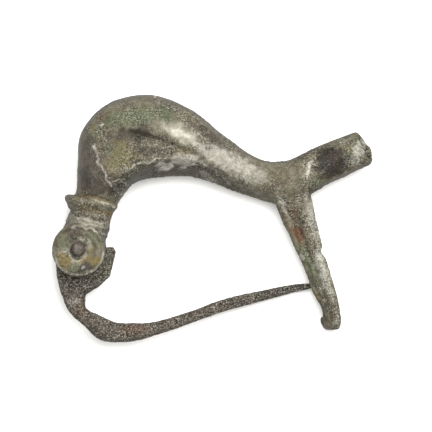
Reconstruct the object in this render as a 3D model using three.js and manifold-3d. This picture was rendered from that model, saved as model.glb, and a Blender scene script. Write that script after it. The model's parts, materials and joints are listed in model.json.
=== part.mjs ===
// A small cast bronze bow brooch (fibula) with a hinged pin, lying on its side. Millimetres, +Z up.
// The brooch is drawn in its own axes: u runs from the hinge to the foot, v up through the bow, and w out of
// the cheek that faces up when it lies down. The hinge axis is the line u = v = 0. At the end it is tilted to
// its rest.
import * as THREE from "three";
import { mergeVertices } from "three/addons/utils/BufferGeometryUtils.js";
import Module from "manifold-3d";

const wasm = await Module();
wasm.setup();

// Bow: sections from the hinge to the foot. outer and inner are the [u, v] ends of each section, halfWidth is
// half its size along w, crest moves its widest line towards the outer edge (0 leaves it in the middle), and
// belly squares up the inner half (2 is a plain ellipse).
const bowSections = [
  { outer: [-3.4, 1.2], inner: [4.1, 0.4], halfWidth: 3.9, crest: 0, belly: 2 },
  { outer: [-2.5, 3.2], inner: [4.5, 2.9], halfWidth: 3.8, crest: 0, belly: 2 },
  { outer: [-1.4, 5.4], inner: [5.1, 5.2], halfWidth: 3.6, crest: 0, belly: 2 },
  { outer: [-0.4, 8.6], inner: [6.4, 7.6], halfWidth: 3.9, crest: 0, belly: 2.2 },
  { outer: [-0.15, 12.6], inner: [8.1, 9.6], halfWidth: 4.4, crest: 0.05, belly: 2.5 },
  { outer: [0.3, 17.3], inner: [10.0, 10.4], halfWidth: 4.9, crest: 0.12, belly: 2.9 },
  { outer: [4.2, 21.7], inner: [12.2, 10.65], halfWidth: 5.2, crest: 0.15, belly: 3.1 },
  { outer: [10.6, 23.1], inner: [14.6, 10.8], halfWidth: 5.3, crest: 0.15, belly: 3.1 },
  { outer: [16.8, 20.9], inner: [17.2, 10.7], halfWidth: 4.9, crest: 0.12, belly: 2.9 },
  { outer: [21.9, 16.9], inner: [20.4, 9.7], halfWidth: 4.0, crest: 0.1, belly: 2.5 },
  { outer: [27.1, 13.5], inner: [25.6, 7.8], halfWidth: 3.1, crest: 0.05, belly: 2.2 },
  { outer: [31.0, 13.2], inner: [31.4, 6.6], halfWidth: 2.8, crest: 0, belly: 2.1 },
  { outer: [35.6, 15.3], inner: [37.3, 9.6], halfWidth: 2.6, crest: 0, belly: 2.1 },
  { outer: [41.0, 17.4], inner: [43.5, 12.5], halfWidth: 2.6, crest: 0, belly: 2.1 },
];
const bowSteps = 44;
const bowFacets = 22;

// Foot end: a shallow groove, then a thin lip with one notch, a third of the way down it.
const footEnd = {
  grooveRun: 0.25,
  grooveScale: 0.9,
  lipRun: 0.4,
  notchRadius: 0.35,
  notchFacets: 12,
  notchPlace: 1 / 3,
};

// Collar and band on the neck: discs with a rounded rim, set across it. centre is [u, v], tilt is the slope
// of the disc in degrees, halfLength runs across the neck and halfWidth along w.
const collar = { centre: [1.8, 6.7], tilt: -10, halfLength: 4.0, halfWidth: 4.6, thickness: 1.8 };
const neckBand = { centre: [1.5, 4.0], tilt: -12, halfLength: 3.2, halfWidth: 4.3, thickness: 1.9 };
const discFacets = 32;
const rimSteps = 6;

// Hinge: a barrel across the head with dished ends, cut by a slot for the pin and bored for the axle.
const barrel = {
  centre: [0.1, -0.15],
  radius: 3.95,
  halfWidth: 4.8,
  rimWidth: 0.7,
  dishDepth: 0.5,
  dishRun: 1.0,
  rounding: 0.35,
  facets: 48,
};
const slot = { radius: 4.45, width: 2.2 };
const bore = { radius: 0.95, facets: 20 };
const axle = { radius: 0.75, headRadius: 1.1, headHeight: 0.8, headGap: 0.12 };

// Catch leg: a narrow plate below the foot. Its lower end is rolled up behind it into a gutter for the pin.
// The bottom edge turns up to the hook tip in a curve of cornerRun, and to the right edge in one that bulges
// past it.
const leg = {
  left: [[29.0, 8.0], [29.9, 5.2], [31.7, 1.4], [33.2, -2.1], [35.3, -6.9], [36.3, -8.3], [36.7, -9.4]],
  right: [[39.4, -10.4], [38.6, -6.2], [37.4, -2.4], [36.7, -0.6], [35.7, 4.2], [34.7, 8.6]],
  hookTip: [36.3, -10.5],
  bottom: -12.2,
  cornerRun: 0.85,
  bulge: 0.28,
  front: 1.2,
  back: -0.6,
  curveSteps: 5,
};
const gutter = { gap: 1.2, lip: 0.8, floor: 0.8, lipTop: -8.3, curveSteps: 10 };

// Pin: a flat head plate with an eye and a square stop spur, then a shaft that tapers to its tip and bends
// back behind the leg. inner is the edge that faces the bow, and bend is the shaft's place along w.
const pinHead = {
  thickness: 1.8,
  rounding: 0.15,
  eyeRadius: 3.3,
  eyeSteps: 16,
  left: [[-3.45, -1.8], [-3.3, -4.0], [-2.6, -7.0]],
  spur: [[1.2, -6.8], [3.1, -5.6], [4.7, -4.1], [5.2, -2.2], [5.6, -0.4], [5.2, 0.3], [4.0, 0.25]],
};
const pinSections = [
  { inner: [1.2, -6.8], outer: [-2.7, -6.4], halfWidth: 0.9, bend: 0 },
  { inner: [1.1, -8.8], outer: [-1.6, -9.2], halfWidth: 0.95, bend: 0 },
  { inner: [2.9, -9.85], outer: [0.8, -11.6], halfWidth: 1.1, bend: 0 },
  { inner: [5.4, -10.95], outer: [3.3, -13.7], halfWidth: 1.2, bend: 0 },
  { inner: [8.4, -11.15], outer: [7.7, -13.95], halfWidth: 1.15, bend: -0.1 },
  { inner: [11.0, -11.0], outer: [11.7, -12.95], halfWidth: 0.95, bend: -0.2 },
  { inner: [16.4, -9.5], outer: [17.0, -11.1], halfWidth: 0.8, bend: -0.5 },
  { inner: [21.6, -7.6], outer: [22.1, -9.35], halfWidth: 0.75, bend: -0.9 },
  { inner: [26.4, -6.55], outer: [26.9, -7.95], halfWidth: 0.6, bend: -1.35 },
  { inner: [31.0, -5.65], outer: [31.3, -6.75], halfWidth: 0.5, bend: -1.7 },
  { inner: [34.4, -5.35], outer: [34.5, -6.0], halfWidth: 0.3, bend: -1.75 },
  { inner: [35.5, -5.45], outer: [35.5, -5.75], halfWidth: 0.15, bend: -1.75 },
];
const pinSteps = 34;
const pinFacets = 12;

// Rest: the three places [u, v, w] where it touches the ground, each worn to a small flat of this depth.
const supports = {
  cheek: [12.5, 17.0, -5.36],
  axleHead: [0, 0, -5.22],
  gutterLip: [38.6, -8.2, -2.6],
};
const flatDepth = 0.1;

const mergeDistance = 1e-4;
const farAway = 60;
const groundSize = 240;
const castBronze = { color: 0x77705c, roughness: 0.55, metalness: 0.7 };
const wroughtBronze = { color: 0x5b5245, roughness: 0.7, metalness: 0.6 };
const axleBronze = { color: 0x4f4a40, roughness: 0.6, metalness: 0.6 };

// ---- Solids from geometry and back ----

function solidFrom(geometry) {
  const bare = geometry.clone();
  bare.deleteAttribute("normal");
  bare.deleteAttribute("uv");
  const merged = mergeVertices(bare, mergeDistance);
  return new wasm.Manifold(
    new wasm.Mesh({
      numProp: 3,
      vertProperties: merged.attributes.position.array,
      triVerts: new Uint32Array(merged.index.array),
    }),
  );
}

function geometryFrom(solid) {
  const mesh = solid.getMesh();
  const geometry = new THREE.BufferGeometry();
  geometry.setAttribute("position", new THREE.BufferAttribute(mesh.vertProperties, 3));
  geometry.setIndex(new THREE.BufferAttribute(mesh.triVerts, 1));
  geometry.computeVertexNormals();
  return geometry;
}

// ---- Lofts ----

// A closed body through rings of points that all run the same way round, with a fan over each end.
function loft(rings) {
  const facets = rings[0].length;
  const lastRing = (rings.length - 1) * facets;
  const points = rings.flat();
  const middleOf = (ring) =>
    ring.reduce((sum, point) => sum.add(point), new THREE.Vector3()).divideScalar(facets);
  const startMiddle = points.push(middleOf(rings[0])) - 1;
  const endMiddle = points.push(middleOf(rings.at(-1))) - 1;
  const faces = [];
  for (let j = 0; j < facets; j++) {
    const k = (j + 1) % facets;
    faces.push(startMiddle, k, j, endMiddle, lastRing + j, lastRing + k);
    for (let near = 0; near < lastRing; near += facets) {
      const far = near + facets;
      faces.push(near + j, near + k, far + k, near + j, far + k, far + j);
    }
  }
  const geometry = new THREE.BufferGeometry().setFromPoints(points);
  geometry.setIndex(faces);
  return geometry;
}

// A ring between the two ends of a section: half an ellipse towards the first end, a squarer half towards the
// second, and its widest line lies crest towards the first.
function ringOf({ first, second, halfWidth, crest, belly, bend }, facets) {
  const middle = first.clone().add(second).multiplyScalar(0.5);
  const reach = first.clone().sub(middle);
  return Array.from({ length: facets }, (_, j) => {
    const angle = (2 * Math.PI * j) / facets;
    const power = Math.cos(angle) < 0 ? 2 / belly : 1;
    const along = Math.sign(Math.cos(angle)) * Math.abs(Math.cos(angle)) ** power;
    const across = Math.sign(Math.sin(angle)) * Math.abs(Math.sin(angle)) ** power;
    const point = middle.clone().addScaledVector(reach, along);
    point.z = bend + halfWidth * across * (1 + crest * along);
    return point;
  });
}

// Sections at even steps along smooth curves through the given ones.
function sectionsThrough(sections, steps, firstSide, secondSide) {
  const curveOf = (pick) =>
    new THREE.CatmullRomCurve3(sections.map((section) => new THREE.Vector3(...pick(section))));
  const firstCurve = curveOf((section) => section[firstSide]);
  const secondCurve = curveOf((section) => section[secondSide]);
  const sizeCurve = curveOf(({ halfWidth, bend = 0 }) => [halfWidth, bend, 0]);
  const formCurve = curveOf(({ crest = 0, belly = 2 }) => [crest, belly, 0]);
  return Array.from({ length: steps }, (_, i) => {
    const t = i / (steps - 1);
    const size = sizeCurve.getPoint(t);
    const form = formCurve.getPoint(t);
    return {
      first: firstCurve.getPoint(t),
      second: secondCurve.getPoint(t),
      halfWidth: size.x,
      bend: size.y,
      crest: form.x,
      belly: form.y,
    };
  });
}

// The same section moved along the run and scaled about its middle.
function sectionBeyond(section, along, length, scale) {
  const middle = section.first.clone().add(section.second).multiplyScalar(0.5);
  const moved = (point) =>
    point.clone().sub(middle).multiplyScalar(scale).add(middle).addScaledVector(along, length);
  const { first, second, halfWidth } = section;
  return { ...section, first: moved(first), second: moved(second), halfWidth: halfWidth * scale };
}

// ---- The casting ----

function makeBow() {
  const sections = sectionsThrough(bowSections, bowSteps, "outer", "inner");
  const end = sections.at(-1);
  const across = end.first.clone().sub(end.second).normalize();
  const along = new THREE.Vector3(across.y, -across.x, 0);
  const { grooveRun, grooveScale, lipRun, notchRadius, notchFacets, notchPlace } = footEnd;
  sections.push(
    sectionBeyond(end, along, grooveRun, grooveScale),
    sectionBeyond(end, along, 2 * grooveRun, 1),
    sectionBeyond(end, along, 2 * grooveRun + lipRun, grooveScale),
  );
  const body = solidFrom(loft(sections.map((section) => ringOf(section, bowFacets))));
  const tip = sections.at(-1);
  const notch = makeRodAlongW(notchRadius, farAway, notchFacets);
  const place = tip.first.clone().lerp(tip.second, notchPlace);
  return body.subtract(notch.translate([place.x, place.y, 0]));
}

// A disc with a half-round rim, stretched to an ellipse and turned across the neck.
function makeNeckDisc({ centre, tilt, halfLength, halfWidth, thickness }) {
  const half = thickness / 2;
  const rimRun = half / halfWidth;
  const rim = Array.from({ length: rimSteps + 1 }, (_, i) => {
    const angle = (Math.PI * i) / rimSteps - Math.PI / 2;
    return new THREE.Vector2(1 - rimRun + rimRun * Math.cos(angle), half * Math.sin(angle));
  });
  const profile = [new THREE.Vector2(0, -half), ...rim, new THREE.Vector2(0, half)];
  const disc = new THREE.LatheGeometry(profile, discFacets);
  disc.scale(halfLength, 1, halfWidth);
  disc.rotateZ(THREE.MathUtils.degToRad(tilt));
  disc.translate(...centre, 0);
  return solidFrom(disc);
}

function makeRodAlongW(radius, length, facets) {
  const rod = new THREE.CylinderGeometry(radius, radius, length, facets);
  rod.rotateX(Math.PI / 2);
  return solidFrom(rod);
}

function makeBarrel() {
  const { centre, radius, halfWidth, rimWidth, dishDepth, dishRun, rounding, facets } = barrel;
  const dishRadius = radius - rimWidth;
  const halfProfile = [
    [0, halfWidth - dishDepth],
    [dishRadius - dishRun, halfWidth - dishDepth],
    [dishRadius, halfWidth],
    [radius - rounding, halfWidth],
    [radius, halfWidth - rounding],
  ];
  const lower = halfProfile.map(([r, w]) => new THREE.Vector2(r, -w));
  const upper = halfProfile.map(([r, w]) => new THREE.Vector2(r, w)).reverse();
  const body = new THREE.LatheGeometry([...lower, ...upper], facets);
  body.rotateX(Math.PI / 2);
  body.translate(...centre, 0);
  return solidFrom(body);
}

// The face of the leg, seen along w, carried right through.
function makeLegFace() {
  const { left, right, hookTip, bottom, cornerRun, bulge } = leg;
  const face = new THREE.Shape();
  const points = (list) => list.map((point) => new THREE.Vector2(...point));
  face.moveTo(...left[0]);
  face.splineThru(points(left.slice(1)));
  face.lineTo(...hookTip);
  face.quadraticCurveTo(hookTip[0], bottom, hookTip[0] + cornerRun, bottom);
  face.lineTo(right[0][0] - 2 * cornerRun, bottom);
  face.quadraticCurveTo(right[0][0] + bulge, bottom, ...right[0]);
  face.splineThru(points(right.slice(1)));
  const curveSegments = leg.curveSteps;
  const plate = new THREE.ExtrudeGeometry(face, { depth: 2 * farAway, bevelEnabled: false, curveSegments });
  plate.translate(0, 0, -farAway);
  return solidFrom(plate);
}

// The side of the leg, seen along u: the front, round under the gutter, up its lip, and up the plate's back.
function makeLegSide() {
  const { bottom, front, back } = leg;
  const { gap, lip, floor, lipTop } = gutter;
  const lipBack = back - gap - lip;
  const outer = (front - lipBack) / 2;
  const side = new THREE.Shape();
  side.moveTo(back, farAway);
  side.lineTo(front, farAway);
  side.absarc(front - outer, bottom + outer, outer, 0, -Math.PI, true);
  side.absarc(lipBack + lip / 2, lipTop, lip / 2, Math.PI, 0, true);
  side.absarc(back - gap / 2, bottom + floor + gap / 2, gap / 2, Math.PI, 2 * Math.PI, false);
  const curveSegments = gutter.curveSteps;
  const run = new THREE.ExtrudeGeometry(side, { depth: 2 * farAway, bevelEnabled: false, curveSegments });
  run.rotateY(-Math.PI / 2);
  run.translate(farAway, 0, 0);
  return solidFrom(run);
}

function makeCastBody() {
  const slotCut = makeRodAlongW(slot.radius, slot.width, barrel.facets);
  const boreCut = makeRodAlongW(bore.radius, farAway, bore.facets);
  return makeBow()
    .add(makeBarrel())
    .add(makeNeckDisc(collar))
    .add(makeNeckDisc(neckBand))
    .add(makeLegFace().intersect(makeLegSide()))
    .subtract(slotCut)
    .subtract(boreCut);
}

// ---- Axle and pin ----

// A rod with a domed head just clear of each dished face.
function makeAxle() {
  const headBase = barrel.halfWidth - barrel.dishDepth + axle.headGap;
  const dome = Array.from({ length: rimSteps + 1 }, (_, i) => {
    const angle = (Math.PI * i) / (2 * rimSteps);
    return [axle.headRadius * Math.cos(angle), headBase + axle.headHeight * Math.sin(angle)];
  });
  dome.at(-1)[0] = 0;
  const halfProfile = [[axle.radius, headBase], ...dome];
  const upper = halfProfile.map(([r, w]) => new THREE.Vector2(r, w));
  const lower = halfProfile.map(([r, w]) => new THREE.Vector2(r, -w)).reverse();
  const body = new THREE.LatheGeometry([...lower, ...upper], bore.facets);
  body.rotateX(Math.PI / 2);
  return solidFrom(body);
}

function makePinHead() {
  const { thickness, rounding, eyeRadius, eyeSteps, left, spur } = pinHead;
  const outline = new THREE.Shape();
  outline.absarc(0, 0, eyeRadius, 0, Math.PI, false);
  [...left, ...spur].forEach((point) => outline.lineTo(...point));
  const plate = new THREE.ExtrudeGeometry(outline, {
    depth: thickness - 2 * rounding,
    bevelThickness: rounding,
    bevelSize: rounding,
    bevelOffset: -rounding,
    bevelSegments: 1,
    curveSegments: eyeSteps,
  });
  plate.translate(0, 0, rounding - thickness / 2);
  return solidFrom(plate);
}

function makePin() {
  const sections = sectionsThrough(pinSections, pinSteps, "inner", "outer");
  const shaft = solidFrom(loft(sections.map((section) => ringOf(section, pinFacets))));
  return makePinHead().add(shaft).subtract(makeRodAlongW(bore.radius, farAway, bore.facets));
}

// ---- Rest ----

// The ground under the three supports, raised to cut each of them flat.
const ground = new THREE.Plane().setFromCoplanarPoints(
  new THREE.Vector3(...supports.axleHead),
  new THREE.Vector3(...supports.gutterLip),
  new THREE.Vector3(...supports.cheek),
);
ground.constant -= flatDepth;
const up = new THREE.Vector3(0, 0, 1);

function cutFlats(solid) {
  const block = new THREE.BoxGeometry(groundSize, groundSize, farAway);
  block.translate(0, 0, -farAway / 2);
  block.applyQuaternion(new THREE.Quaternion().setFromUnitVectors(up, ground.normal));
  block.translate(...ground.coplanarPoint(new THREE.Vector3()).toArray());
  return solid.subtract(solidFrom(block));
}

function makeMesh(name, solid, finish) {
  const mesh = new THREE.Mesh(geometryFrom(solid), new THREE.MeshStandardMaterial(finish));
  mesh.name = name;
  return mesh;
}

const brooch = new THREE.Group();
brooch.add(
  makeMesh("cast_body", cutFlats(makeCastBody()), castBronze),
  makeMesh("hinge_axle", cutFlats(makeAxle()), axleBronze),
  makeMesh("pin", makePin(), wroughtBronze),
);
brooch.quaternion.setFromUnitVectors(ground.normal, up);

// The part's origin is at the bottom of its box, in the middle.
const part = new THREE.Group();
part.add(brooch);
const box = new THREE.Box3().setFromObject(part, true);
const middle = box.getCenter(new THREE.Vector3());
brooch.position.set(-middle.x, -middle.y, -box.min.z);

export default part;
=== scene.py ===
import json
import bpy
import numpy as np
from mathutils import Matrix, Vector


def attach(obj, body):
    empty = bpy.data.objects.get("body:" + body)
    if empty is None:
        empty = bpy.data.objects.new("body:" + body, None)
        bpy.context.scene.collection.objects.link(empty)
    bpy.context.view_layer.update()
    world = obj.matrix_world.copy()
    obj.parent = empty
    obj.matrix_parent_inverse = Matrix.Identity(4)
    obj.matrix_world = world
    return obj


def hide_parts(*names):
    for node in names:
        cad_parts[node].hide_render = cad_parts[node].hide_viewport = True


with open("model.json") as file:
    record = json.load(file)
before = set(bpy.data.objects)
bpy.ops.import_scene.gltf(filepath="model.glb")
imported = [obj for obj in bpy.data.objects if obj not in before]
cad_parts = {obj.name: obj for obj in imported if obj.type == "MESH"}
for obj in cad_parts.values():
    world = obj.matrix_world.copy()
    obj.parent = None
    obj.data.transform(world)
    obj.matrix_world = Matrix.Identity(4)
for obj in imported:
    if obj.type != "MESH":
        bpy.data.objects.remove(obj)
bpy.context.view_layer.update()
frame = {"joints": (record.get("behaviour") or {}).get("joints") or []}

# The brooch's own axes, in mm: u from the hinge to the foot, v up through the bow, w out of the cheek on
# show. The hinge gives the place and w, and the least turn from upright gives the other two.
hinge = frame["joints"][0]
wAxis = -Vector(hinge["axis"]).normalized()
turn = Vector((0, 0, 1)).rotation_difference(wAxis).to_matrix()
metresPerMm = 0.001
hingePlace = Vector(hinge["pos_m"])


def toFrame(points):
    # points in mm on the brooch's axes, as metres in the frame
    return np.asarray(points) @ (np.array(turn.transposed()) * metresPerMm) + np.array(hingePlace)


# Surfaces: each is rings of points, closed into one shell

def smoothThrough(rows, count):
    # even steps through all the rows: between each two a cubic, whose end slopes weigh the neighbours by the
    # root of their distance
    rows = np.asarray(rows, float)
    rows = np.vstack([2 * rows[0] - rows[1], rows, 2 * rows[-1] - rows[-2]])
    gap = np.sqrt(np.linalg.norm(np.diff(rows, axis=0), axis=1))[:, None] + 1e-6
    place = np.linspace(0, len(rows) - 3, count)
    i = np.minimum(place.astype(int), len(rows) - 4)
    t = (place - i)[:, None]
    p0, p1, p2, p3 = (rows[i + k] for k in range(4))
    d0, d1, d2 = (gap[i + k] for k in range(3))
    s1 = ((p1 - p0) / d0 - (p2 - p0) / (d0 + d1) + (p2 - p1) / d1) * d1
    s2 = ((p2 - p1) / d1 - (p3 - p1) / (d1 + d2) + (p3 - p2) / d2) * d1
    return p1 + s1 * t + (3 * p2 - 3 * p1 - 2 * s1 - s2) * t**2 + (2 * p1 - 2 * p2 + s1 + s2) * t**3


def shell(rings):
    # quads between each ring and the next and a fan over each end, turned so that the volume inside is
    # positive
    count, around = rings.shape[:2]
    points = np.vstack([rings.reshape(-1, 3), rings[0].mean(0), rings[-1].mean(0)])
    row = np.arange(count - 1)[:, None] * around
    j = np.arange(around)
    k = (j + 1) % around
    lower = np.stack([row + j, row + k, row + around + k], -1).reshape(-1, 3)
    upper = np.stack([row + j, row + around + k, row + around + j], -1).reshape(-1, 3)
    last = (count - 1) * around
    start = np.stack([np.full(around, count * around), k, j], -1)
    end = np.stack([np.full(around, count * around + 1), last + j, last + k], -1)
    faces = np.vstack([lower, upper, start, end])
    a, b, c = (points[faces[:, i]] for i in range(3))
    volume = (a * np.cross(b, c)).sum()
    return points, faces if volume > 0 else faces[:, ::-1]


def joined(shells):
    # the points of all shells in one list, and each shell's faces counted on from where its points start
    starts = np.cumsum([0] + [len(points) for points, faces in shells])
    faces = [faces + start for (points, faces), start in zip(shells, starts)]
    return np.vstack([points for points, faces in shells]), np.vstack(faces)


def spun(profile, centre, acrossA, acrossB, axis, around=96):
    # each (radius, height) of the profile goes round as radius * (cos * acrossA + sin * acrossB) + height *
    # axis
    angle = np.linspace(0, 2 * np.pi, around, endpoint=False)
    circle = np.cos(angle)[:, None] * np.array(acrossA) + np.sin(angle)[:, None] * np.array(acrossB)
    radius, height = np.array(profile, float).T
    return shell(radius[:, None, None] * circle + height[:, None, None] * np.array(axis) + np.array(centre))


def ramp(low, high, x):
    # 0 below low and 1 above high, with a smooth S between
    t = np.clip((x - low) / (high - low), 0, 1)
    return t * t * (3 - 2 * t)


def softMin(a, b, soft):
    # the lower of two, rounded over where they are within soft of each other
    h = np.clip(0.5 + 0.5 * (b - a) / soft, 0, 1)
    return b + (a - b) * h - soft * h * (1 - h)


def meshObject(name, points, faces):
    # an object at the origin that holds these points and faces
    mesh = bpy.data.meshes.new(name)
    mesh.from_pydata(points, [], faces.tolist())
    mesh.update()
    made = bpy.data.objects.new(name, mesh)
    bpy.context.scene.collection.objects.link(made)
    return made


def finishWith(made, kind, **settings):
    # one modifier, put on and applied
    modifier = made.modifiers.new(kind.title(), kind)
    for key, value in settings.items():
        setattr(modifier, key, value)
    old = made.data
    made.data = bpy.data.meshes.new_from_object(made.evaluated_get(bpy.context.evaluated_depsgraph_get()))
    made.modifiers.clear()
    bpy.data.meshes.remove(old)


def melted(name, shells, cuts, voxel, smoothing):
    # shells that overlap become one skin of even quads, then the cuts are taken out and the skin is evened
    # again
    made = meshObject(name, *joined(shells))
    finishWith(made, "REMESH", mode="VOXEL", voxel_size=voxel)
    for cut in cuts:
        tool = meshObject("cut", *cut)
        finishWith(made, "BOOLEAN", operation="DIFFERENCE", solver="EXACT", object=tool)
        bpy.data.objects.remove(tool)
    finishWith(made, "REMESH", mode="VOXEL", voxel_size=voxel)
    finishWith(made, "SMOOTH", factor=0.5, iterations=smoothing)
    return made


# Noise and distances that the relief and the patina are made of

noiseField = {
    "slopes": 4096,
    "seed": 11,
    "primes": (73856093, 19349663, 83492791),
    "seedStep": 7.31,
    "gain": 1.6,
}
slopes = np.random.default_rng(noiseField["seed"]).normal(size=(noiseField["slopes"], 3))
slopes /= np.linalg.norm(slopes, axis=1)[:, None]


def noise(points, size, seed=0):
    # a slope at each corner of cubes of this size, carried to the point and eased from corner to corner: -1
    # to 1
    place = points / size + seed * noiseField["seedStep"]
    cell = np.floor(place).astype(np.int64)
    part = place - cell
    ease = part**3 * (part * (part * 6 - 15) + 10)
    total = np.zeros(len(points))
    for corner in np.ndindex(2, 2, 2):
        key = (cell + corner) @ np.array(noiseField["primes"])
        key = (key ^ (key >> 13)) % noiseField["slopes"]
        weight = np.where(np.array(corner), ease, 1 - ease).prod(1)
        total += weight * ((part - corner) * slopes[key]).sum(1)
    return np.clip(total * noiseField["gain"], -1, 1)


def lumpy(points, size, seed=0, octaves=3):
    # noise over noise of half the size and half the height
    return sum(noise(points, size / 2**i, seed + i) / 2**i for i in range(octaves))


def alongPath(points, path):
    # the distance in u and v to the nearest stretch of a path, less than 0 on its right, and how far along it
    # is
    flat = points[:, None, :2]
    start, end = (np.array(path, float)[part] for part in (slice(None, -1), slice(1, None)))
    run = end - start
    t = np.clip(((flat - start) * run).sum(2) / (run * run).sum(1), 0, 1)
    gap = flat - start - t[..., None] * run
    distance = np.linalg.norm(gap, axis=2)
    i = distance.argmin(1)
    row = np.arange(len(i))
    side = np.sign(run[i, 0] * gap[row, i, 1] - run[i, 1] * gap[row, i, 0])
    return distance[row, i] * side, (i + t[row, i]) / len(run)


def wandered(points, far=0.35, size=1.3):
    # the points moved about in u and v by noise, so that what is drawn from them has uneven edges
    moves = [far * lumpy(points, size, seed) for seed in (31, 37)]
    return points + np.stack([*moves, np.zeros(len(points))], 1)


def patch(points, centre, size, tilt=0, ragged=0.35):
    # 1 inside an oval of these half sizes, turned by tilt degrees, 0 outside it, with an edge that noise
    # moves
    angle = np.radians(tilt)
    du, dv = (points[:, :2] - np.array(centre)).T
    along = (du * np.cos(angle) + dv * np.sin(angle)) / size[0]
    across = (dv * np.cos(angle) - du * np.sin(angle)) / size[1]
    reach = np.hypot(along, across) + ragged * lumpy(points, 1.1, 5)
    return 1 - ramp(0.6, 1.25, reach)


def stroke(points, path, width, ragged=0.4):
    # 1 on a path, 0 beyond its width
    distance = np.abs(alongPath(points, path)[0]) / width + ragged * lumpy(points, 0.8, 9)
    return 1 - ramp(0.5, 1.2, distance)


# The bow, sections from the hinge to the foot. outer and inner are its edges, halfWidth is along w, crest
# puts the widest line nearer the outer edge, belly squares up the inner half, and arris is where the
# underside turns in from the cheek, as a part of the way from the inner edge to the middle.
bow = {
    "sections": [
        # outer u, v, inner u, v, halfWidth, crest, belly, arris
        (-3.4, 1.2, 4.1, 0.4, 3.9, 0, 2, 0.1),
        (-2.5, 3.2, 4.5, 2.9, 3.8, 0, 2, 0.1),
        (-1.4, 5.4, 5.1, 5.2, 3.6, 0, 2, 0.1),
        (-0.4, 8.6, 6.4, 7.6, 3.9, 0, 2.2, 0.12),
        (-0.15, 12.6, 8.1, 9.6, 4.4, 0.05, 2.5, 0.2),
        (0.3, 17.3, 10.0, 10.4, 4.9, 0.12, 2.9, 0.28),
        (4.2, 21.7, 12.2, 10.65, 5.2, 0.15, 3.1, 0.34),
        (10.6, 23.1, 14.6, 10.8, 5.3, 0.15, 3.1, 0.38),
        (16.8, 20.9, 17.2, 10.7, 4.9, 0.12, 2.9, 0.46),
        (21.9, 16.9, 20.4, 9.7, 4.0, 0.1, 2.5, 0.56),
        (27.1, 13.5, 25.6, 7.8, 3.1, 0.05, 2.2, 0.5),
        (31.0, 13.2, 31.4, 6.6, 2.8, 0, 2.1, 0.3),
        (35.6, 15.3, 37.3, 9.6, 2.6, 0, 2.1, 0.2),
        (41.0, 17.4, 43.5, 12.5, 2.6, 0, 2.1, 0.2),
    ],
    "steps": 240,
    "facets": 120,
    "arrisHeight": 0.86,
    "arrisSoftness": 0.1,
}


def sectionRings(first, second, halfWidth, bend, crest=0, belly=2, arris=0.1, facets=96):
    # along the line from second to first a cosine, and across it, on w, halfWidth times a sine; on second's
    # half both are raised to 2 / belly, and a straight slope up from second cuts the sine off below the arris
    halfWidth, bend, crest, belly, arris = (
        np.broadcast_to(value, len(first))[:, None] for value in (halfWidth, bend, crest, belly, arris)
    )
    angle = np.linspace(0, 2 * np.pi, facets, endpoint=False)
    power = np.where(np.cos(angle) < 0, 2 / belly, 1)
    along = np.sign(np.cos(angle)) * np.abs(np.cos(angle)) ** power
    across = np.abs(np.sin(angle)) ** power
    slope = bow["arrisHeight"] * (1 + along) / arris
    across = np.where(along < 0, softMin(across, slope, bow["arrisSoftness"]), across)
    across = np.maximum(across, 0) * np.sign(np.sin(angle))
    middle, reach = (first + second) / 2, (first - second) / 2
    flat = middle[:, None] + reach[:, None] * along[..., None]
    w = bend + halfWidth * across * (1 + crest * along)
    return np.concatenate([flat, w[..., None]], -1)


# Foot end: a fine groove round the foot, then a lip in two lobes. A lobe is its place and half its width, as
# parts of the way from the outer edge to the inner one, and how far it stands out.
footEnd = {
    "grooveRun": 0.55,
    "grooveDepth": 0.35,
    "grooveWidth": 0.18,
    "lobes": [(0.25, 0.2, 0.15), (0.68, 0.3, 0.5)],
    "beyond": [
        # scale, run in mm, share of the lobes
        (1, 0.1, 0),
        (0.985, 0.3, 0),
        (0.955, 0.45, 0.1),
        (0.93, 0.6, 0.3),
        (0.88, 0.75, 0.7),
        (0.8, 0.85, 1),
        (0.6, 0.9, 1),
        (0.1, 0.9, 1),
    ],
}


def bowShell():
    # the sections carried along the bow, then rings beyond it: each is the last section scaled about its
    # middle and moved along the foot by its run and its share of the lobes, which are bells across the foot
    rows = smoothThrough(bow["sections"], bow["steps"])
    rings = sectionRings(rows[:, :2], rows[:, 2:4], rows[:, 4], 0, *rows[:, 5:8].T, facets=bow["facets"])
    end, middle = rings[-1], rings[-1].mean(0)
    across = rows[-1, 2:4] - rows[-1, :2]
    run = np.array([-across[1], across[0], 0]) / np.linalg.norm(across)
    place = ((end[:, :2] - rows[-1, :2]) @ across) / (across @ across)
    lobes = sum(high * np.exp(-(((place - at) / half) ** 2) * 2) for at, half, high in footEnd["lobes"])
    scale, flat, lobed = np.array(footEnd["beyond"]).T[..., None, None]
    out = middle + (end - middle) * scale + run * (flat + lobes[:, None] * lobed)
    return shell(np.concatenate([rings, out]))


# Collar and band across the neck. tilt is in degrees, and a profile goes from the bow side to the hinge side.
collar = {
    "centre": (1.75, 6.62, 0),
    "tilt": -10.5,
    "halfLength": 4.05,
    "halfWidth": 4.6,
    "profile": [(0.02, 1.0), (0.8, 0.95), (0.93, 0.85), (1, 0.55), (1, 0.3), (0.95, -0.1), (0.86, -0.6),
                (0.78, -1.1), (0.02, -1.2)],
}
neckBand = {
    "centre": (1.45, 4.0, 0),
    "tilt": -12,
    "halfLength": 3.3,
    "halfWidth": 4.35,
    "profile": [(0.02, 1.05), (0.8, 1.0), (0.93, 0.8), (0.98, 0.45), (0.97, 0.2), (1, 0), (1.02, -0.5),
                (1, -0.9), (0.9, -1.0), (0.02, -1.1)],
}


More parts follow.
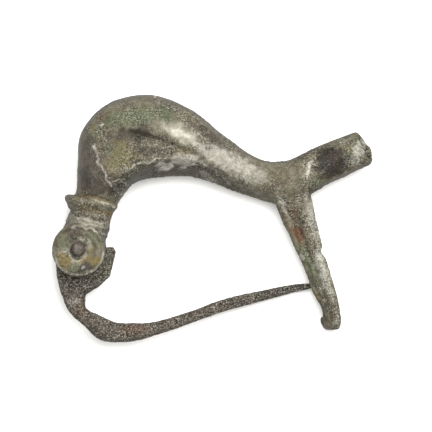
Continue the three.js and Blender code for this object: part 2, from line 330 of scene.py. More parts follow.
def neckDisc(disc):
    # the profile goes round an ellipse, halfLength across the neck and halfWidth along w, in a plane that is
    # tilted
    angle = np.radians(disc["tilt"])
    return spun(
        disc["profile"],
        disc["centre"],
        disc["halfLength"] * np.array([np.cos(angle), np.sin(angle), 0]),
        (0, 0, disc["halfWidth"]),
        (-np.sin(angle), np.cos(angle), 0),
    )


# Hinge barrel, from one dished face to the other, with the slot for the pin and the bore for the axle
barrel = {
    "centre": (0.1, -0.15, 0),
    "radius": 3.95,
    "face": [(0.02, 4.3), (1.25, 4.32), (1.5, 4.56), (1.9, 4.68), (2.4, 4.7), (2.8, 4.74), (3.1, 4.76),
             (3.3, 4.7), (3.42, 4.54), (3.52, 4.38), (3.62, 4.36), (3.74, 4.46), (3.86, 4.46), (3.95, 4.3),
             (3.98, 4.1)],
}
slot = {"radius": 4.45, "width": 2.2}
bore = {"radius": 0.95, "halfLength": 12}


def alongW(profile, centre=(0, 0, 0), around=96):
    # a profile of radius and w that goes round the hinge axis, or a line beside it
    return spun(profile, centre, (1, 0, 0), (0, 1, 0), (0, 0, 1), around)


def barrelShell():
    # out from the middle of the lower face to its edge, and back in from the edge of the upper one
    lower = [(r, -w) for r, w in barrel["face"]]
    return alongW(lower + barrel["face"][::-1], barrel["centre"])


def rod(radius, halfLength):
    # a plain cylinder round the hinge axis
    return alongW([(0.01, -halfLength), (radius, -halfLength), (radius, halfLength), (0.01, halfLength)])


# Catch leg: a narrow plate that runs down, rolls up behind itself into a gutter for the pin and ends in a lip
leg = {
    "stations": [
        # v, w, left u, right u, thickness
        (11.5, 0.2, 29.2, 35.6, 4.4),
        (9.4, 0.25, 28.6, 34.6, 4.0),
        (7.6, 0.3, 29.2, 34.9, 3.2),
        (5.8, 0.3, 29.85, 35.3, 2.4),
        (4.0, 0.3, 30.6, 35.75, 2.0),
        (1.5, 0.3, 31.8, 36.3, 1.8),
        (0.2, 0.3, 32.35, 36.55, 1.8),
        (-0.4, 0.3, 32.65, 36.35, 1.8),
        (-1.3, 0.3, 33.05, 36.95, 1.8),
        (-3.8, 0.3, 34.15, 37.8, 1.8),
        (-6.1, 0.3, 34.9, 38.5, 1.8),
        (-7.4, 0.3, 35.55, 38.85, 1.8),
        (-8.4, 0.3, 36.2, 39.1, 1.8),
        (-9.7, 0.25, 36.55, 39.25, 1.7),
        (-10.8, 0.05, 36.7, 39.35, 1.4),
        (-11.65, -0.6, 36.85, 39.2, 0.9),
        (-11.7, -1.3, 36.7, 39.0, 0.8),
        (-11.1, -1.95, 36.35, 39.1, 0.8),
        (-10.5, -2.2, 36.3, 39.2, 0.8),
        (-10.1, -2.2, 36.7, 39.2, 0.8),
        (-8.6, -2.2, 36.8, 39.1, 0.75),
    ],
    "platePart": 14,  # so many of the stations are on the flat plate
    "steps": 240,
    "facets": 80,
    "squareness": 3.4,
    "strip": (0.12, 0.1, 0.1),  # across the front: how far over, how wide, how high
    "groove": (0.36, 0.13, -0.55),
    "ridge": (0.74, 0.19, 0.45),
}


def legShell():
    # a squared oval, as wide as the leg, carried down its path and turned to stay square to it
    rows = smoothThrough(leg["stations"], leg["steps"])
    v, w, left, right, thickness = rows.T
    slope = np.stack([np.gradient(v), np.gradient(w)], 1)
    slope /= np.linalg.norm(slope, axis=1)[:, None]
    angle = np.linspace(0, 2 * np.pi, leg["facets"], endpoint=False)
    power = 2 / leg["squareness"]
    along = np.sign(np.cos(angle)) * np.abs(np.cos(angle)) ** power
    out = np.sign(np.sin(angle)) * np.abs(np.sin(angle)) ** power * thickness[:, None] / 2
    u = ((left + right) / 2)[:, None] + ((right - left) / 2)[:, None] * along
    return shell(np.stack([u, v[:, None] + out * slope[:, 1:], w[:, None] - out * slope[:, :1]], -1))


# Pin: a flat head plate with an eye and a square stop spur, then a shaft that tapers and bends back behind
# the leg
pin = {
    "plate": {
        "centre": (0.8, -2.5),
        "halfThickness": 0.9,
        "eyeRadius": 3.3,
        "left": [(-3.45, -1.8), (-3.3, -4.0), (-2.6, -7.0)],
        "spur": [(1.2, -6.8), (3.1, -5.6), (4.7, -4.1), (5.2, -2.2), (5.6, -0.4), (5.2, 0.3), (4.0, 0.25)],
    },
    "sections": [
        # inner u, v, outer u, v, halfWidth, bend
        (1.2, -6.2, -2.85, -5.6, 0.9, 0),
        (1.1, -8.8, -1.6, -9.2, 0.95, 0),
        (2.9, -9.85, 0.8, -11.6, 1.1, 0),
        (5.4, -10.95, 3.3, -13.7, 1.2, 0),
        (8.4, -11.15, 7.7, -13.95, 1.15, -0.1),
        (11.0, -11.0, 11.7, -12.95, 0.95, -0.2),
        (16.4, -9.5, 17.0, -11.1, 0.8, -0.5),
        (21.6, -7.6, 22.1, -9.35, 0.75, -0.9),
        (26.4, -6.45, 26.9, -8.05, 0.6, -1.35),
        (31.0, -5.55, 31.3, -6.85, 0.5, -1.7),
        (34.4, -5.2, 34.5, -6.1, 0.3, -1.75),
        (35.5, -5.4, 35.5, -5.8, 0.15, -1.75),
    ],
    "belly": 2.6,
    "steps": 260,
    "facets": 64,
    "voxel": 0.1,
    "grain": 0.7,
    "relief": 0.8,
}


def plateShell():
    # the outline drawn in towards its centre: full width in the middle of the thickness and less at both
    # faces
    plate = pin["plate"]
    eye = np.radians(np.linspace(0, 180, 25))
    arc = plate["eyeRadius"] * np.stack([np.cos(eye), np.sin(eye)], 1)
    corners = np.vstack([arc, plate["left"], plate["spur"], arc[:1]])
    step = np.append(0, np.cumsum(np.linalg.norm(np.diff(corners, axis=0), axis=1)))
    even = np.linspace(0, step[-1], 240, endpoint=False)
    outline = np.stack([np.interp(even, step, corners[:, i]) for i in (0, 1)], 1)
    lean = np.radians(np.linspace(-90, 90, 13))
    scale = np.concatenate([[0.02, 0.5], 0.93 + 0.07 * np.cos(lean), [0.5, 0.02]])
    height = plate["halfThickness"] * np.concatenate([[-1, -1], np.sin(lean), [1, 1]])
    flat = np.array(plate["centre"]) + (outline - plate["centre"]) * scale[:, None, None]
    return shell(np.concatenate([flat, np.broadcast_to(height[:, None, None], flat.shape[:2] + (1,))], -1))


def shaftShell():
    # the sections carried along the shaft, bent out of the plate's plane by their bend
    rows = smoothThrough(pin["sections"], pin["steps"])
    edges = rows[:, :2], rows[:, 2:4]
    return shell(sectionRings(*edges, rows[:, 4], rows[:, 5], belly=pin["belly"], facets=pin["facets"]))


# Axle: a rod with a head at both ends, hammered to a dome
axle = {
    "radius": 0.75,
    "rodSteps": 30,
    "headRadius": 1.1,
    "headBase": 4.42,
    "headHeight": 0.8,
    "domeSteps": 16,
    "dentSize": 0.9,
    "dentHeight": 0.03,
    "rubbedFrom": (4.9, 5.2),
}


def axleShell():
    # up the rod and over a quarter of an ellipse, and the same mirrored below
    lean = np.radians(np.linspace(0, 89, axle["domeSteps"]))
    rise = axle["headBase"] + axle["headHeight"] * np.sin(lean)
    dome = np.stack([axle["headRadius"] * np.cos(lean), rise], 1)
    w = np.linspace(0, axle["headBase"], axle["rodSteps"])
    half = np.vstack([np.stack([np.full(len(w), axle["radius"]), w], 1), dome])
    lower = half[::-1] * (1, -1)
    return alongW(np.vstack([lower, half[1:]]), around=64)


# Relief cut, worn or grown on the casting, in mm

casting = {
    "voxel": 0.17,
    "ridge": [(2.7, 15.4), (3.3, 17.0), (4.9, 18.1), (7.2, 18.3), (10, 17.6), (12.9, 16.7), (15.2, 15.8),
              (17.4, 14.7), (19.2, 13.4), (21.4, 11.9), (24.2, 10.2)],
    "ridgeHeight": 0.32,
    "ridgeAbove": 2.2,
    "ridgeBelow": 0.45,
    "hollowDepth": 0.42,
    "arris": [(5.8, 9.6), (6.2, 11.0), (7.6, 12.0), (9.2, 12.7), (11.4, 13.2), (13.8, 13.2), (15.9, 12.3),
              (18.2, 13.0), (20.2, 12.0), (22.6, 10.4), (24.6, 9.2), (26.6, 8.6)],
    "lump": {"centre": (15.9, 13.4), "size": (2.1, 1.4), "height": 0.22},
    "smoothing": 2,
    "grainPatch": 4.0,
    "worn": [((1.4, 12.7), (2.0, 5.5), 6), ((15, 17.3), (3.2, 1.4), -25)],
}
# each kind of roughness: its size, its height on worn skin, and how much more it has on rough skin, in mm
skinRelief = {
    "lumps": (3.0, 0.06, 0),
    "waves": (0.9, 0.015, 0.045),
    "grit": (0.42, 0.005, 0.06),
    "pits": (0.55, -0.02, -0.16),
}


def legShare(points):
    # 0 on the leg's left edge and 1 on its right one
    stations = np.array(leg["stations"][:leg["platePart"]])[::-1]
    left = np.interp(points[:, 1], stations[:, 0], stations[:, 2])
    right = np.interp(points[:, 1], stations[:, 0], stations[:, 3])
    return (points[:, 0] - left) / (right - left)


def onLeg(points):
    # 1 on the leg, fading to 0 past its edges and where it joins the foot
    share = legShare(points)
    inside = ramp(-0.1, 0.02, share) * (1 - ramp(0.98, 1.1, share))
    return inside * (1 - ramp(4.5, 7.5, points[:, 1]))


def carve(points):
    # how far each point of the front moves out along w: a bell over the ridge's path, wider above it than
    # below, a hollow under it, a lump, and bells across the leg for its strip, groove and ridge
    distance, share = alongPath(points, casting["ridge"])
    wide = np.where(distance > 0, casting["ridgeAbove"], casting["ridgeBelow"])
    fade = (0.25 * ramp(0, 0.12, share) + 0.75 * ramp(0.2, 0.5, share)) * (1 - ramp(0.75, 1, share))
    ridge = casting["ridgeHeight"] * np.exp(-((distance / wide) ** 2)) * fade
    hollow = ramp(0, 1.0, -distance) * (1 - ramp(2.0, 4.5, -distance)) * fade * (1 - ramp(0.5, 0.8, share))
    lump = casting["lump"]
    swell = lump["height"] * patch(points, lump["centre"], lump["size"])
    across = legShare(points)
    bells = [leg[name] for name in ("strip", "groove", "ridge")]
    runs = sum(high * np.exp(-(((across - at) / wide) ** 2)) for at, wide, high in bells)
    return ridge - casting["hollowDepth"] * hollow + swell + onLeg(points) * runs


def footGroove(points):
    # 1 on the line round the foot where its lip begins, 0 beyond the groove's width
    outer, inner = (np.array(bow["sections"][-1][part]) for part in (slice(0, 2), slice(2, 4)))
    across = (inner - outer) / np.linalg.norm(inner - outer)
    flat = points[:, :2] - outer
    run = flat @ np.array([-across[1], across[0]])
    side = flat @ across
    on = ramp(-1, -0.5, side) * (1 - ramp(5.6, 6.1, side))
    return np.exp(-(((run - footEnd["grooveRun"]) / footEnd["grooveWidth"]) ** 2)) * on


def castGrain(points):
    # how rough the casting's skin is, 0 to 1: it comes and goes in patches and is least where it is worn
    worn = np.max([patch(points, centre, size, tilt) for centre, size, tilt in casting["worn"]], 0)
    patches = 0.2 + 0.8 * ramp(-0.3, 0.5, lumpy(points, casting["grainPatch"], 12))
    return patches * (1 - 0.8 * worn)


def roughen(points, normals, grain):
    # out along the normal by the sum of each kind's noise times its height; pits are the peaks of their
    # noise, and lie in wider groups
    lumps, waves, grit, pits = skinRelief.values()
    fields = [
        (lumps, lumpy(points, lumps[0], 1)),
        (waves, lumpy(points, waves[0], 2)),
        (grit, noise(points, grit[0], 6)),
        (pits, ramp(0.25, 0.8, noise(points, pits[0], 3)) * ramp(-0.1, 0.5, noise(points, 2.4, 4))),
    ]
    height = sum((worn + rough * grain) * field for (size, worn, rough), field in fields)
    return normals * height[:, None], height


def readPoints(mesh):
    # the mesh's points, in mm on the brooch's axes, and its normals
    points, normals = np.empty((2, len(mesh.vertices), 3), np.float32)
    mesh.vertices.foreach_get("co", points.ravel())
    mesh.vertex_normals.foreach_get("vector", normals.ravel())
    return points.astype(float), normals.astype(float)


def settle(made, points, layers, material):
    # puts the points in the frame with nothing under the ground, and the layers on them as attributes
    placed = toFrame(points)
    placed[:, 2] = np.maximum(placed[:, 2], 0)
    made.data.vertices.foreach_set("co", placed.astype(np.float32).ravel())
    for name, values in layers.items():
        layer = made.data.attributes.new(name, "FLOAT", "POINT")
        layer.data.foreach_set("value", np.clip(values, 0, 1).astype(np.float32))
    made.data.shade_smooth()
    made.data.materials.clear()
    made.data.materials.append(material)
    made.data.update()


# Patina, with painted highlights and painted shade among its ovals: where each layer lies on the casting. An
# oval is centre u, v, half sizes, tilt in degrees and strength. A line is its path, half its width and its
# strength.

castPatina = {
    "green": [
        (8.0, 19.6, 5.2, 1.3, 8, 0.7),
        (8.6, 17.2, 1.6, 0.8, -20, 0.9),
        (13.2, 20.2, 1.6, 1.0, -35, 0.7),
        (6.0, 14.3, 2.0, 2.2, 20, 0.5),
        (-0.6, -2.9, 0.8, 0.6, -10, 0.9),
        (2.6, 1.6, 1.6, 1.2, -40, 0.4),
        (-2.2, 0.9, 1.2, 1.4, 0, 0.4),
        (15.8, 11.6, 1.8, 0.5, 0, 0.5),
        (34.3, -2.0, 5.0, 0.7, -67, 0.7),
        (36.0, 9.9, 1.5, 0.8, 25, 0.5),
        (41.4, 14.6, 1.4, 2.6, -25, 0.35),
    ],
    "ochre": [
        (6.4, 14.6, 1.6, 1.8, 30, 0.5),
        (5.2, 12.6, 1.2, 1.6, 0, 0.5),
        (7.6, 13.2, 2.6, 0.7, 25, 0.5),
        (2.3, 18.1, 0.6, 0.5, 0, 0.8),
        (-2.0, -1.7, 1.5, 1.0, -50, 0.95),
        (2.4, -1.7, 0.9, 0.7, 40, 1.0),
        (0.9, -1.7, 1.2, 0.5, 0, 0.8),
        (1.9, -0.2, 0.5, 0.9, 0, 0.7),
        (4.6, 5.4, 0.5, 0.4, 0, 1.0),
        (2.2, 5.9, 2.6, 0.5, -12, 0.5),
        (16.2, 14.6, 1.3, 0.7, -20, 0.4),
        (30.0, 10.3, 2.2, 1.5, -10, 0.15),
        (35.4, -6.8, 1.4, 0.45, -55, 0.6),
        (40.1, 15.1, 0.5, 0.4, 0, 0.6),
    ],
    "brown": [
        (1.4, 12.7, 1.8, 4.8, 6, 0.9),
        (3.4, 9.6, 3.6, 1.6, 15, 0.8),
        (7.8, 17.0, 3.6, 1.2, 5, 0.8),
        (10.5, 14.6, 3.0, 0.9, -5, 0.7),
        (37.6, 12.9, 2.4, 2.6, 28, 0.95),
        (1.1, -2.6, 1.3, 0.8, 10, 0.85),
        (-0.7, 2.3, 1.5, 1.0, 10, 0.5),
        (20.5, 16.0, 4.5, 0.8, -42, 0.7),
        (29.5, 10.0, 2.0, 1.6, -10, 0.4),
    ],
    "red": [
        (32.2, 5.0, 1.2, 0.7, -67, 0.6),
        (32.9, 2.1, 2.0, 0.75, -67, 1.0),
        (15.9, 13.6, 1.9, 0.9, 15, 0.35),
        (3.6, 19.7, 0.9, 0.6, 30, 0.5),
        (38.2, 13.3, 0.9, 1.3, 28, 0.4),
    ],
    "pale": [
        # the first oval is partly pale deposit and partly a painted highlight along the glossy band
        (22.4, 12.9, 5.8, 1.7, -28, 0.35),
        (16.1, 13.4, 2.2, 1.0, 10, 0.6),
        (27.0, 11.3, 1.6, 1.4, -20, 0.35),
        (34.5, 12.2, 0.35, 1.3, -12, 1.0),
        (33.6, -1.1, 0.7, 0.3, -60, 0.9),
        (35.2, 4.2, 3.6, 0.9, -77, 0.5),
        (36.7, -3.6, 3.8, 0.9, -72, 0.6),
        (38.6, -10.6, 0.9, 0.4, 80, 0.5),
        (30.6, 6.6, 2.8, 0.35, -66, 0.4),
        (42.0, 14.9, 0.8, 2.2, -25, 0.6),
        (1.7, 0.3, 0.4, 0.9, -10, 0.35),
        (1.4, 3.9, 3.0, 0.9, -12, 0.2),
        (0.8, -2.9, 0.25, 0.2, 0, 1.0),
        (3.6, 18.6, 0.28, 0.22, 0, 1.0),
        (11.4, 22.7, 0.25, 0.22, 0, 0.9),
    ],
    "dark": [
        (38.0, 13.4, 2.6, 2.3, 28, 0.75),
        (34.2, 14.2, 3.0, 0.5, 28, 0.5),
        (31.9, 5.0, 3.6, 0.28, -66, 0.6),
        (-3.3, 7.2, 0.5, 0.6, 0, 0.6),
        (34.7, -3.6, 3.8, 0.45, -67, 0.5),
        (36.9, -9.2, 2.2, 0.5, -82, 0.6),
        (5.3, 8.7, 0.9, 0.7, 30, 0.9),
        (6.6, 9.6, 0.7, 0.5, 30, 0.8),
        # this oval is partly dark patina and partly painted shade in the hollow under the ridge
        (10.4, 16.6, 3.4, 0.8, -5, 0.3),
        (4.2, 15.7, 0.8, 1.6, 0, 0.4),
        (-0.6, -0.6, 0.9, 0.8, 0, 0.7),
    ],
    # rubbed ovals: partly wear, partly painted highlight on the ridge's crest, the glossy band and the
    # underside's reflection
    "rubbedAndHighlight": [
        (15.4, 17.1, 3.4, 1.3, -25, 0.45),
        (15.2, 17.2, 2.2, 0.7, -25, 0.75),
        (22.4, 13.4, 5.4, 1.4, -28, 0.5),
        (16.1, 13.5, 1.6, 0.7, 10, 0.4),
        (13.0, 12.3, 1.4, 0.7, 10, 1.0),
        (19.0, 11.0, 1.6, 0.4, -30, 0.5),
        (1.4, 12.7, 1.5, 4.0, 6, 0.12),
    ],
}
patinaLines = {
    "pale": [
        ([(2.3, 15.6), (3.2, 12.9), (3.8, 11.5), (5.0, 9.1), (6.9, 8.1)], 0.15, 0.65),
        ([(15.0, 12.0), (18.4, 13.0), (19.7, 12.0), (22.7, 9.8)], 0.17, 0.9),
        ([(7.6, 12.2), (9.4, 12.9), (11.6, 13.4), (13.8, 13.4)], 0.15, 0.6),
        ([(5.1, 10.1), (6.4, 10.3), (7.5, 9.5)], 0.14, 0.8),
        ([(-0.9, 3.3), (1.4, 3.1), (3.9, 2.2)], 0.14, 0.7),
        ([(-0.4, 4.7), (1.8, 4.4), (4.0, 3.8)], 0.12, 0.6),
        ([(-0.2, 4.1), (1.8, 3.8), (4.1, 3.2)], 0.12, 0.6),
        ([(0.6, 7.7), (3.0, 7.3), (5.2, 6.3)], 0.12, 0.5),
        ([(2.6, 7.2), (4.4, 6.6), (5.4, 6.1)], 0.12, 0.7),
        ([(-2.6, -0.6), (-1.6, -0.3), (-1.2, -1.0), (-0.6, -1.7), (0.4, -1.6)], 0.14, 0.55),
    ],
    "ochre": [([(0.1, 8.1), (2.8, 7.6), (5.5, 6.4)], 0.5, 0.65)],
    "dark": [
        ([(-2.6, 2.4), (-1.2, 3.0), (0.6, 3.0), (2.2, 2.4), (3.3, 1.2)], 0.3, 0.45),
        ([(0.2, 2.2), (1.4, 1.9), (2.2, 1.2), (2.6, 0.2), (2.5, -0.8)], 0.28, 0.45),
        ([(-0.6, 8.3), (2.4, 8.2), (5.4, 7.0)], 0.16, 0.6),
        ([(-0.6, 5.0), (1.8, 4.9), (4.2, 4.2)], 0.2, 0.6),
    ],
}


# patina, painted shade and a painted reflection that follow the form
castSkin = {
    "hidden": 0.6,  # strength of the ovals on the hidden side
    # strength of the painted shade under the arris
    "underPaintedShade": 0.62,
    # brown patina and painted shade on the turned flanks, and painted shade alone on the most turned ones
    "flankBrownAndShade": 0.75,
    "flankPaintedShade": 0.35,
    "lugFace": 3.9,  # the faces of the lugs lie further out than this along w
    # the pale line on the lower rim is a painted reflection of the floor
    "rim": {"inset": 0.18, "width": 0.16, "strength": 0.5},
    "halo": {"radius": 1.5, "width": 0.22, "strength": 0.4},
    "wornRidge": ((15.4, 17.1), (3.0, 1.1), -25),
    "wornBands": [((2.4, 7.5), (3.4, 0.7), -12), ((1.6, 4.1), (3.2, 0.8), -12)],
    "gritPatches": (4.0, 1.2),
}


def paint(points, patina, hidden):
    # each layer is the strongest of its ovals; on the hidden side they lie elsewhere and are weaker
    seen = ramp(-0.6, 0.8, points[:, 2])
    points = wandered(points)
    layers = {}
    for name, ovals in patina.items():
        total = np.zeros(len(points))
        for u, v, halfU, halfV, tilt, strength in ovals:
            front = patch(points, (u, v), (halfU, halfV), tilt)
            back = hidden * patch(points, (u + 1.1, v - 0.7), (halfU * 1.4, halfV * 1.4), tilt)
            total = np.maximum(total, strength * (seen * front + (1 - seen) * back))
        layers[name] = total
    return layers, seen


def pitDarkAndShade(height):
    # 1 where the skin is pitted, 0 where it isn't; it darkens the pits, partly with dark corrosion in them
    # and partly with painted shade
    return ramp(0.01, -0.1, height)


def paintCasting(points, normals, height):
    # the strongest of ovals, lines and what follows the form, for each layer
    layers, seen = paint(points, castPatina, castSkin["hidden"])
    points = wandered(points)
    for name, lines in patinaLines.items():
        for path, width, strength in lines:
            layers[name] = np.maximum(layers[name], seen * strength * stroke(points, path, width))
    layers["hollow"] = pitDarkAndShade(height)
    # the underside below the arris is painted dark and loses most of its ochre: painted shade where it turns
    # down from the light
    distance, share = alongPath(points, casting["arris"])
    underShade = ramp(0.02, 0.22, -distance) * ramp(0, 0.06, share) * (1 - ramp(0.9, 1, share)) * seen
    layers["dark"] = np.maximum(layers["dark"], castSkin["underPaintedShade"] * underShade * (1 - layers["rubbedAndHighlight"]))
    layers["ochre"] *= 1 - 0.8 * underShade
    # the spine and the flanks that turn away from the cheeks are browner and darker than the cheeks: partly
    # the brown patina of the spine, partly painted shade on surfaces turned from the light
    turned = 1 - np.abs(normals[:, 2])
    layers["brown"] = np.maximum(layers["brown"], castSkin["flankBrownAndShade"] * ramp(0.35, 0.85, turned))
    layers["dark"] = np.maximum(layers["dark"], castSkin["flankPaintedShade"] * ramp(0.6, 0.95, turned))
    # the lug's face has a pale line along the lower part of its rim, a painted reflection of the floor, and a
    # broken halo round the axle's head
    rim, halo = castSkin["rim"], castSkin["halo"]
    onFace = seen * (np.abs(points[:, 2]) > castSkin["lugFace"])
    reach = np.hypot(points[:, 0] - barrel["centre"][0], points[:, 1] - barrel["centre"][1])
    onRimReflection = np.exp(-(((reach - barrel["radius"] + rim["inset"]) / rim["width"]) ** 2))
    onRimReflection *= rim["strength"] * ramp(0.3, -1.2, points[:, 1])
    onHalo = np.exp(-(((reach - halo["radius"]) / halo["width"]) ** 2))
    onHalo *= halo["strength"] * ramp(-0.3, 0.3, lumpy(points, 0.9, 51))
    layers["pale"] = np.maximum(layers["pale"], onFace * (onRimReflection + onHalo))
    # grit comes and goes in patches: it is least on smooth work, and most on the leg's right half
    leftOfLeg = onLeg(points) * (1 - ramp(0.2, 0.3, legShare(points)))
    rightOfLeg = onLeg(points) * ramp(0.45, 0.6, legShare(points))
    smooth = [0.7 * layers["brown"], patch(points, *castSkin["wornRidge"]), leftOfLeg,
              0.6 * onFace * ramp(barrel["radius"], barrel["radius"] - 0.4, reach)]
    smooth += [0.7 * seen * patch(points, *band) for band in castSkin["wornBands"]]
    wide, narrow = castSkin["gritPatches"]
    patchy = ramp(-0.4, 0.4, lumpy(points, wide, 12))
    patchy *= 0.4 + 0.6 * ramp(-0.4, 0.4, lumpy(points, narrow, 13))
    layers["grit"] = np.maximum((0.3 + 0.7 * patchy) * (1 - 0.75 * np.max(smooth, 0)), rightOfLeg)
    return layers


# Materials

def linear(hexColour):
    # an sRGB hex value as linear red, green, blue and alpha
    channels = (int(hexColour[i:i + 2], 16) / 255 for i in (1, 3, 5))
    return [c / 12.92 if c <= 0.04045 else ((c + 0.055) / 1.055) ** 2.4 for c in channels] + [1.0]


def addNode(tree, kind, inputs=(), output=0, **settings):
    # a node with its settings; each input is a value, or another node's output to link from. Gives one output
    # back
    node = tree.nodes.new(kind)
    for key, value in settings.items():
        setattr(node, key, value)
    for key, value in dict(inputs).items():
        if isinstance(value, bpy.types.NodeSocket):
            tree.links.new(value, node.inputs[key])
        else:
            node.inputs[key].default_value = value
    return node.outputs[output]


def newMaterial(name):
    # a material with its node tree and its shader
    material = bpy.data.materials.new(name)
    material.use_nodes = True
    tree = material.node_tree
    return material, tree, tree.nodes["Principled BSDF"]


def bronze(name, finish):
    # Old bronze under patina: a dull brown and olive mineral skin with metal glinting through where it is
    # rubbed. Its pale rubbed colour is partly a painted highlight, and its dark colour partly painted shade.
    material, tree, shader = newMaterial(name)
    place = addNode(tree, "ShaderNodeTexCoord", output="Object")
    layerNames = ("green", "brown", "red", "ochre", "pale", "rubbedAndHighlight", "dark", "hollow", "grit")
    layer = {
        name: addNode(tree, "ShaderNodeAttribute", output="Fac", attribute_name=name) for name in layerNames
    }
    # two sizes of soft spots in mm: clouds part olive from umber, and mottling breaks up the rest
    clouds, mottle = (
        addNode(tree, "ShaderNodeMapRange", {
            "Value": addNode(tree, "ShaderNodeTexNoise", {
                "Vector": place, "Scale": 1 / (size * metresPerMm), "Detail": detail, "Roughness": 0.6}),
            "From Min": 0.5 - spread, "From Max": 0.5 + spread}, interpolation_type="SMOOTHSTEP")
        for size, detail, spread in ((3.2, 3, 0.14), (0.9, 5, 0.12))
    )
    ashShare = addNode(tree, "ShaderNodeMath", {0: mottle, 1: finish["mottling"]}, operation="MULTIPLY")
    coats = [(clouds, "umber"), (ashShare, "ash")]
    for tone, whole in finish["coats"].items():
        # a coat is whole at its middle and breaks up in spots towards its edge
        broken = {0: mottle, 1: 1 - whole, 2: whole}
        share = addNode(tree, "ShaderNodeMath", broken, operation="MULTIPLY_ADD")
        share = addNode(tree, "ShaderNodeMath", {0: layer[tone], 1: share}, operation="MULTIPLY")
        coats.append((share, tone))
    # the dark layer holds dark patina and painted shade, and the hollow layer darkens the pits, partly as
    # painted shade
    for name, strength in (("dark", 0.85), ("hollow", 0.6)):
        share = addNode(tree, "ShaderNodeMath", {0: layer[name], 1: strength}, operation="MULTIPLY")
        coats.append((share, "dark"))
    # grit finer than 0.24 mm is drawn at that size so that it shows: dark where its noise is low, pale where
    # high
    grain = addNode(tree, "ShaderNodeTexNoise", {
        "Vector": place, "Scale": 1 / (0.24 * metresPerMm), "Detail": 4.0, "Roughness": 0.75})
    for spread, strength, tone in ((-0.13, finish["speckle"], "dark"), (0.16, finish["sparkle"], "fleck")):
        share = addNode(tree, "ShaderNodeMapRange", {
            "Value": grain, "From Min": 0.5, "From Max": 0.5 + spread, "To Max": strength})
        share = addNode(tree, "ShaderNodeMath", {0: layer["grit"], 1: share}, operation="MULTIPLY")
        coats.append((share, tone))
    colour = linear(finish["olive"])
    for share, tone in coats:
        # the Mix node keeps its colours in inputs 6 and 7, and gives the mixed one as output 2
        coated = {0: share, 6: colour, 7: linear(finish[tone])}
        colour = addNode(tree, "ShaderNodeMix", coated, output=2, data_type="RGBA")
    shader.inputs["Specular IOR Level"].default_value = finish["gloss"]

    # metal shows a little everywhere and more where rubbed, and least under deposit and earth
    skin = addNode(tree, "ShaderNodeMath", {0: layer["pale"], 1: layer["ochre"]}, operation="MAXIMUM")
    bare = addNode(tree, "ShaderNodeMath", {0: skin, 1: -0.7, 2: 1.0}, operation="MULTIPLY_ADD")
    metal = addNode(tree, "ShaderNodeMath", {0: layer["rubbedAndHighlight"], 1: 0.3, 2: finish["metal"]},
                    operation="MULTIPLY_ADD")
    metal = addNode(tree, "ShaderNodeMath", {0: metal, 1: bare}, operation="MULTIPLY")
    dull = addNode(tree, "ShaderNodeMapRange", {
        "Value": layer["grit"], "To Min": finish["smooth"], "To Max": finish["rough"]})
    for share, more in ((skin, 0.15), (layer["rubbedAndHighlight"], -0.06), (mottle, 0.08)):
        dull = addNode(tree, "ShaderNodeMath", {0: share, 1: more, 2: dull}, operation="MULTIPLY_ADD")

    # grains of 0.28 mm stand up in the bump, most on gritty skin
    grains = addNode(tree, "ShaderNodeTexNoise", {
        "Vector": place, "Scale": 1 / (0.28 * metresPerMm), "Detail": 3.0})
    lift = addNode(tree, "ShaderNodeMath", {0: layer["grit"], 1: 0.85, 2: 0.15}, operation="MULTIPLY_ADD")
    lift = addNode(tree, "ShaderNodeMath", {0: lift, 1: grains}, operation="MULTIPLY")
    normal = addNode(tree, "ShaderNodeBump", {
        "Strength": finish["bump"], "Distance": 0.12 * metresPerMm, "Height": lift})
    for name, value in (("Base Color", colour), ("Metallic", metal), ("Roughness", dull), ("Normal", normal)):
        tree.links.new(value, shader.inputs[name])
    return material


# cast bronze, worn smooth on its ridges, which also carry painted highlights: olive and umber patina, ochre
# earth, chalky deposit, and dark patina with painted shade. Under coats stands how whole each coat is where
# it is thin.
castFinish = {
    "coats": {"green": 0.8, "brown": 1.0, "red": 0.8, "ochre": 0.7, "pale": 0.45, "rubbedAndHighlight": 0.5},
    "olive": "#4e4b3b", "umber": "#433b30", "ash": "#656152", "green": "#434b34", "brown": "#2e2822",
    "red": "#492f1d", "ochre": "#5c4f2f", "pale": "#a5a398", "rubbedAndHighlight": "#9f9b91", "dark": "#11100e",
    "fleck": "#bbb8ac", "mottling": 0.6, "speckle": 0.75, "sparkle": 0.5, "metal": 0.1, "gloss": 0.07,
    "smooth": 0.4, "rough": 0.62, "bump": 0.9,
}
# wrought bronze, rough and darker all over: brown crust with a salt-and-pepper grain
pinFinish = {
    **castFinish,
    "olive": "#38332a", "umber": "#312a25", "ash": "#4f483f", "speckle": 0.9, "sparkle": 0.5, "metal": 0.15,
    "smooth": 0.5, "rough": 0.65, "bump": 1.0,
}
# bronze axle, rubbed to a low shine by the pin: brown, with metal on the crown of its head
axleFinish = {**castFinish, "olive": "#3a332d", "umber": "#332c27", "ash": "#4c443c", "speckle": 0.5,
              "smooth": 0.5, "bump": 0.6}


print("casting")
bores = [rod(bore["radius"], bore["halfLength"])]
castBody = melted(
    "castBody",
    [bowShell(), neckDisc(collar), neckDisc(neckBand), barrelShell(), legShell()],
    [rod(slot["radius"], slot["width"] / 2)] + bores,
    casting["voxel"],
    casting["smoothing"],
)
points, normals = readPoints(castBody.data)
# the carving is on the cheek that shows, and in weaker form, without the leg's, on the other
front = ramp(0.2, 1.5, points[:, 2]) * ramp(0, 0.35, normals[:, 2])
back = ramp(0.2, 1.5, -points[:, 2]) * ramp(0, 0.35, -normals[:, 2])
offset = carve(points)
points[:, 2] += offset * front - 0.6 * offset * back * (1 - onLeg(points))
shift, height = roughen(points, normals, castGrain(points))
groove = footGroove(points) * ramp(0.35, 0.7, np.abs(normals[:, 2]))
shift -= footEnd["grooveDepth"] * groove[:, None] * normals
layers = paintCasting(points, normals, height)
layers["dark"] = np.maximum(layers["dark"], 0.9 * groove)
settle(castBody, points + shift, layers, bronze("Cast bronze with worn patina", castFinish))
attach(castBody, "brooch")
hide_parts("cast_body")

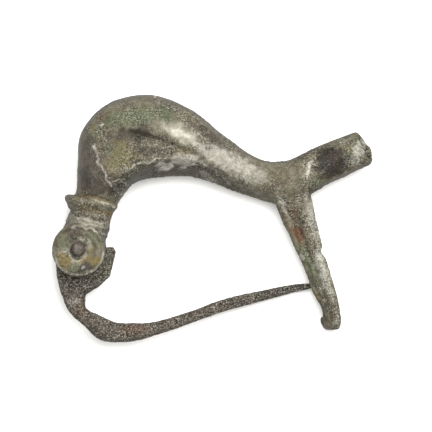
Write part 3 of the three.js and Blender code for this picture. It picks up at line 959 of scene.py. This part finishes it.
print("pin")
pinPatina = {
    "green": [(4.0, -3.0, 1.4, 2.2, 0, 0.3)],
    "brown": [(0.0, -8.0, 3.0, 3.0, 0, 0.4)],
    "red": [(8.7, -12.0, 2.6, 0.8, 0, 0.5), (0.5, -9.0, 1.2, 1.6, 0, 0.3)],
    "pale": [(-0.6, -7.8, 1.0, 0.6, 0, 0.3)],
    # both dark ovals are painted shadow: the leg's over the pin's end, and the lug's across the head plate
    "dark": [(32.6, -5.9, 4.2, 1.4, 10, 1.0), (0.5, -5.0, 4.0, 1.4, 0, 0.5)],
}
pinPiece = melted("pinPiece", [plateShell(), shaftShell()], bores, pin["voxel"], 2)
points, normals = readPoints(pinPiece.data)
shift, height = roughen(points, normals, np.full(len(points), pin["grain"]))
layers, seen = paint(points, pinPatina, castSkin["hidden"])
layers["hollow"] = pitDarkAndShade(height)
layers["grit"] = 0.6 + 0.4 * ramp(-0.4, 0.4, noise(points, 2.0, 14))
settle(pinPiece, points + pin["relief"] * shift, layers, bronze("Wrought bronze with brown crust and painted shadow", pinFinish))
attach(pinPiece, "pin_body")
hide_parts("pin")

print("axle")
axlePiece = meshObject("axlePiece", *axleShell())
points, normals = readPoints(axlePiece.data)
height = axle["dentHeight"] * lumpy(points, axle["dentSize"], 21)
layers = {
    "rubbedAndHighlight": 0.15 * ramp(*axle["rubbedFrom"], np.abs(points[:, 2])),
    "grit": np.full(len(points), 0.4),
    # the dents are darkened, partly as painted shade
    "hollow": ramp(0.0, -axle["dentHeight"], height),
}
dented = points + normals * height[:, None]
settle(axlePiece, dented, layers, bronze("Bronze axle with dark patina and painted shade in its dents", axleFinish))
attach(axlePiece, "brooch")
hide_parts("hinge_axle")

print("stage")
stage = {
    "floorSize": 1.2,
    "floorDrop": 0.00002,
    "aim": (20.58, 4.92, 0),
    "distance": 720,
    "lens": 400,
    "sensor": 36,
    # size and place of each light in mm on the brooch's axes, from the aim, and its power in watts
    "lights": [("key", 480, (80, 140, 430), 5.9), ("fill", 300, (-260, -60, 300), 0.4)],
    "sky": 0.24,
}
bpy.ops.mesh.primitive_plane_add(size=stage["floorSize"], location=(0, 0, -stage["floorDrop"]))
floor = bpy.context.object
floor.name = "floor"
paper, tree, shader = newMaterial("Matt white card")
shader.inputs["Base Color"].default_value = linear("#f4f3f0")
shader.inputs["Roughness"].default_value = 0.9
floor.data.materials.append(paper)


def aimed(thing, place, target):
    # puts a camera or light at a place and turns it to the target, with v up
    up = Vector(turn @ Vector((0, 1, 0)))
    back = (place - target).normalized()
    side = up.cross(back).normalized()
    facing = Matrix((side, back.cross(side), back)).transposed()
    thing.matrix_world = Matrix.Translation(place) @ facing.to_4x4()
    bpy.context.scene.collection.objects.link(thing)


aim = Vector(toFrame(stage["aim"]))
for name, size, place, power in stage["lights"]:
    lamp = bpy.data.lights.new(name, "AREA")
    lamp.shape = "DISK"
    lamp.size = size * metresPerMm
    lamp.energy = power
    aimed(bpy.data.objects.new(name, lamp), Vector(toFrame(np.array(stage["aim"]) + place)), aim)

lens = bpy.data.cameras.new("camera")
lens.lens = stage["lens"]
lens.sensor_width = stage["sensor"]
lens.clip_start = 0.01
camera = bpy.data.objects.new("camera", lens)
aimed(camera, Vector(toFrame(np.array(stage["aim"]) + (0, 0, stage["distance"]))), aim)

scene = bpy.context.scene
scene.camera = camera
scene.view_settings.view_transform = "Standard"
scene.world = bpy.data.worlds.new("studio")
scene.world.use_nodes = True
scene.world.node_tree.nodes["Background"].inputs["Color"].default_value = linear("#ffffff")
scene.world.node_tree.nodes["Background"].inputs["Strength"].default_value = stage["sky"]
